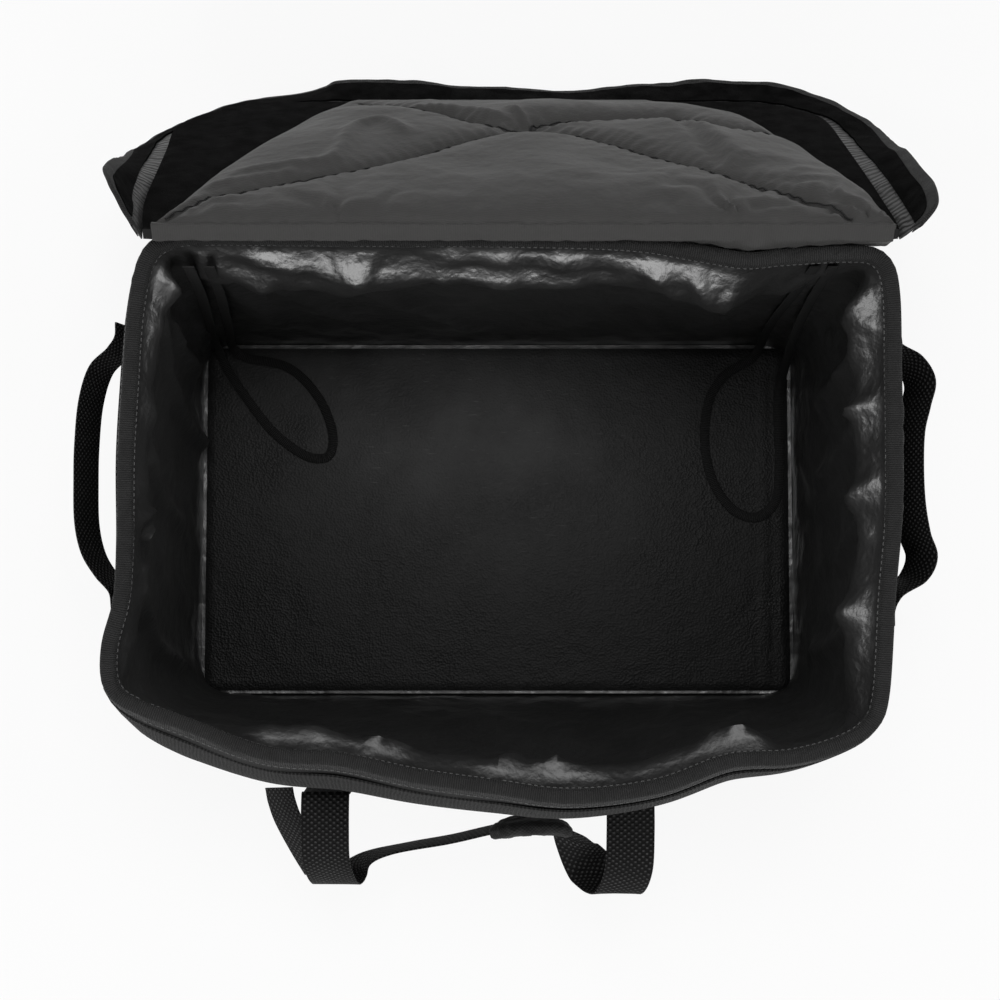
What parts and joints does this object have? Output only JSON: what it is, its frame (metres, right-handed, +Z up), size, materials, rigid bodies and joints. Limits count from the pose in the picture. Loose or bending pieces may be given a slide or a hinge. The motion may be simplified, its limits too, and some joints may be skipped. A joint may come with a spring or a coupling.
{
  "type": "catering bag",
  "caption": "Soft insulated catering bag, open at the top, with a quilted hinged lid, folding skirts, carry handles and a base board.",
  "frame": {"origin": "centre of the flat bottom, on the surface that the bag stands on", "axes": "+X to the bag's right, +Y to its back, where the lid is hinged, +Z up"},
  "size_m": [0.7192, 0.7627, 0.3817],
  "materials": {
    "outer_cloth": "plain woven nylon, matte",
    "foam": "closed-cell foam sheet, matte",
    "liner": "thin coated cloth, shiny",
    "quilted_lining": "thin woven nylon over padding, satin",
    "binding": "ribbed tape, matte",
    "hook_tape": "hook fastener tape, matte",
    "loop_tape": "brushed loop fastener tape, matte",
    "webbing": "coarse woven webbing, matte",
    "narrow_tape": "thin woven tape, matte",
    "grip_cloth": "gathered woven nylon, matte",
    "board_cover": "grained vinyl, satin",
    "board_core": "stiff fluted board, matte"
  },
  "bodies": {
    "body": {"outer_left": "outer_cloth", "outer_right": "outer_cloth", "outer_back": "outer_cloth", "outer_bottom": "outer_cloth", "foam_left": "foam", "foam_right": "foam", "foam_back": "foam", "foam_bottom": "foam", "liner_left": "liner", "liner_right": "liner", "liner_back": "liner", "liner_bottom": "liner", "base_board_core": "board_core", "base_board_cover": "board_cover", "rim_binding_left": "binding", "rim_binding_right": "binding", "rim_binding_back": "binding", "hook_tape_left": "hook_tape", "hook_tape_right": "hook_tape", "hinge_strip": "outer_cloth", "corner_piping_front_left": "binding", "corner_piping_front_right": "binding", "corner_piping_back_left": "binding", "corner_piping_back_right": "binding", "side_handle_tab_left_front": "webbing", "side_handle_tab_left_back": "webbing", "side_handle_tab_right_front": "webbing", "side_handle_tab_right_back": "webbing", "back_handle_tab_left": "webbing", "back_handle_tab_right": "webbing", "tape_loop_left": "narrow_tape", "tape_loop_right": "narrow_tape"},
    "front_wall": {"outer_front": "outer_cloth", "foam_front": "foam", "liner_front": "liner", "rim_binding_front": "binding", "hook_tape_front": "hook_tape", "front_handle_tab_left": "webbing", "front_handle_tab_right": "webbing"},
    "front_handle": {"front_handle_strap": "webbing", "front_handle_return": "webbing", "grip_wrap": "grip_cloth"},
    "back_handle": {"back_handle_strap": "webbing"},
    "side_handle_left": {"side_handle_left": "webbing"},
    "side_handle_right": {"side_handle_right": "webbing"},
    "lid": {"lid_outer": "outer_cloth", "lid_foam": "foam", "lid_lining": "quilted_lining"},
    "skirt_front": {"skirt_front": "outer_cloth", "loop_tape_front": "loop_tape", "skirt_binding_front": "binding"},
    "skirt_left": {"skirt_left": "outer_cloth", "loop_tape_left": "loop_tape", "skirt_binding_left": "binding"},
    "skirt_right": {"skirt_right": "outer_cloth", "loop_tape_right": "loop_tape", "skirt_binding_right": "binding"}
  },
  "joints": [
    {"name": "lid_hinge", "type": "hinge", "parent": "body", "child": "lid", "pos_m": [0, 0.1932, 0.3735], "axis": [1, 0, 0], "range_deg": [0, 237.36]},
    {"name": "front_wall_lean", "type": "hinge", "parent": "body", "child": "front_wall", "pos_m": [0, -0.1744, 0.0015], "axis": [-1, 0, 0], "range_deg": [0, 10]},
    {"name": "skirt_front_fold", "type": "hinge", "parent": "lid", "child": "skirt_front", "pos_m": [0, 0.39919, 0.05417], "axis": [1, 0, 0], "range_deg": [0, 78]},
    {"name": "skirt_left_fold", "type": "hinge", "parent": "lid", "child": "skirt_left", "pos_m": [-0.312, 0.19421, 0.37415], "axis": [0, 0.5394, -0.842], "range_deg": [0, 46.8]},
    {"name": "skirt_right_fold", "type": "hinge", "parent": "lid", "child": "skirt_right", "pos_m": [0.312, 0.19421, 0.37415], "axis": [0, -0.5394, 0.842], "range_deg": [0, 46.8]},
    {"name": "front_handle_swing", "type": "hinge", "parent": "front_wall", "child": "front_handle", "pos_m": [-0.016, -0.24185, 0.238], "axis": [-1, 0, 0], "range_deg": [0, 80]},
    {"name": "back_handle_swing", "type": "hinge", "parent": "body", "child": "back_handle", "pos_m": [0, 0.19258, 0.29], "axis": [1, 0, 0], "range_deg": [0, 45]},
    {"name": "side_handle_left_lift", "type": "hinge", "parent": "body", "child": "side_handle_left", "pos_m": [-0.31781, 0.027, 0.252], "axis": [0, 1, 0], "range_deg": [0, 30]},
    {"name": "side_handle_right_lift", "type": "hinge", "parent": "body", "child": "side_handle_right", "pos_m": [0.31781, 0.027, 0.252], "axis": [0, -1, 0], "range_deg": [0, 30]}
  ],
  "couplings": [
    {"joint": "front_wall_lean", "follows": "lid_hinge", "ratio": 0.042131},
    {"joint": "skirt_left_fold", "follows": "skirt_front_fold", "ratio": 0.6},
    {"joint": "skirt_right_fold", "follows": "skirt_front_fold", "ratio": 0.6}
  ]
}
